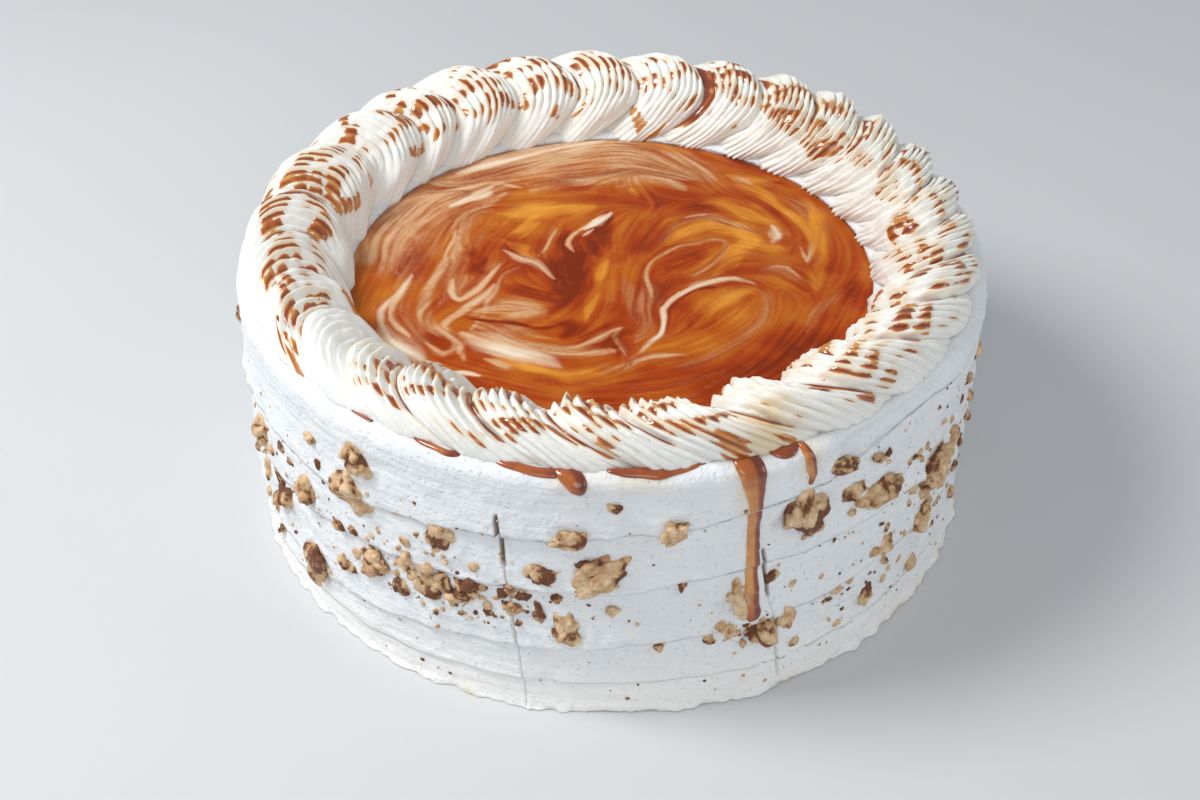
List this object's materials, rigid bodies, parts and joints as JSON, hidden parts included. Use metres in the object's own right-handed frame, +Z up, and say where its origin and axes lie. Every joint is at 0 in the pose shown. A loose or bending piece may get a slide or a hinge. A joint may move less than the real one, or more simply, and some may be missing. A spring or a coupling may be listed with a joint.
{
  "type": "caramel cream torte",
  "caption": "Whole round cream torte with a marbled caramel pool in its recessed top, a piped swirl border and nut pieces on its side.",
  "frame": {"origin": "middle of the flat underside", "axes": "+Z up through the middle of the cake; -Y towards the side seen from the front, +X to its right"},
  "size_m": [0.2725, 0.2718, 0.1123],
  "materials": {
    "whipped_cream": "satin whipped cream with trowel bands and fine air bubbles",
    "piped_cream": "soft satin piped whipped cream",
    "caramel": "wet glossy marbled caramel",
    "nut_kernel": "dry chipped nut flesh with brown skin"
  },
  "bodies": {
    "root": {"caramel_pool": "caramel", "cream_coated_cake": "whipped_cream", "nut_piece_01": "nut_kernel", "nut_piece_02": "nut_kernel", "nut_piece_03": "nut_kernel", "nut_piece_04": "nut_kernel", "nut_piece_05": "nut_kernel", "nut_piece_06": "nut_kernel", "nut_piece_07": "nut_kernel", "nut_piece_08": "nut_kernel", "nut_piece_09": "nut_kernel", "nut_piece_10": "nut_kernel", "nut_piece_11": "nut_kernel", "nut_piece_12": "nut_kernel", "nut_piece_13": "nut_kernel", "nut_piece_14": "nut_kernel", "nut_piece_15": "nut_kernel", "nut_piece_16": "nut_kernel", "nut_piece_17": "nut_kernel", "nut_piece_18": "nut_kernel", "nut_piece_19": "nut_kernel", "nut_piece_20": "nut_kernel", "nut_piece_21": "nut_kernel", "nut_piece_22": "nut_kernel", "nut_piece_23": "nut_kernel", "nut_piece_24": "nut_kernel", "nut_piece_25": "nut_kernel", "nut_piece_26": "nut_kernel", "nut_piece_27": "nut_kernel", "nut_piece_28": "nut_kernel", "nut_piece_29": "nut_kernel", "nut_piece_30": "nut_kernel", "nut_piece_31": "nut_kernel", "piped_swirl_01": "piped_cream", "piped_swirl_02": "piped_cream", "piped_swirl_03": "piped_cream", "piped_swirl_04": "piped_cream", "piped_swirl_05": "piped_cream", "piped_swirl_06": "piped_cream", "piped_swirl_07": "piped_cream", "piped_swirl_08": "piped_cream", "piped_swirl_09": "piped_cream", "piped_swirl_10": "piped_cream", "piped_swirl_11": "piped_cream", "piped_swirl_12": "piped_cream", "piped_swirl_13": "piped_cream", "piped_swirl_14": "piped_cream", "piped_swirl_15": "piped_cream", "piped_swirl_16": "piped_cream", "piped_swirl_17": "piped_cream", "piped_swirl_18": "piped_cream", "piped_swirl_19": "piped_cream", "piped_swirl_20": "piped_cream", "piped_swirl_21": "piped_cream", "piped_swirl_22": "piped_cream", "piped_swirl_23": "piped_cream", "piped_swirl_24": "piped_cream", "piped_swirl_25": "piped_cream", "piped_swirl_26": "piped_cream", "piped_swirl_27": "piped_cream"}
  },
  "joints": []
}
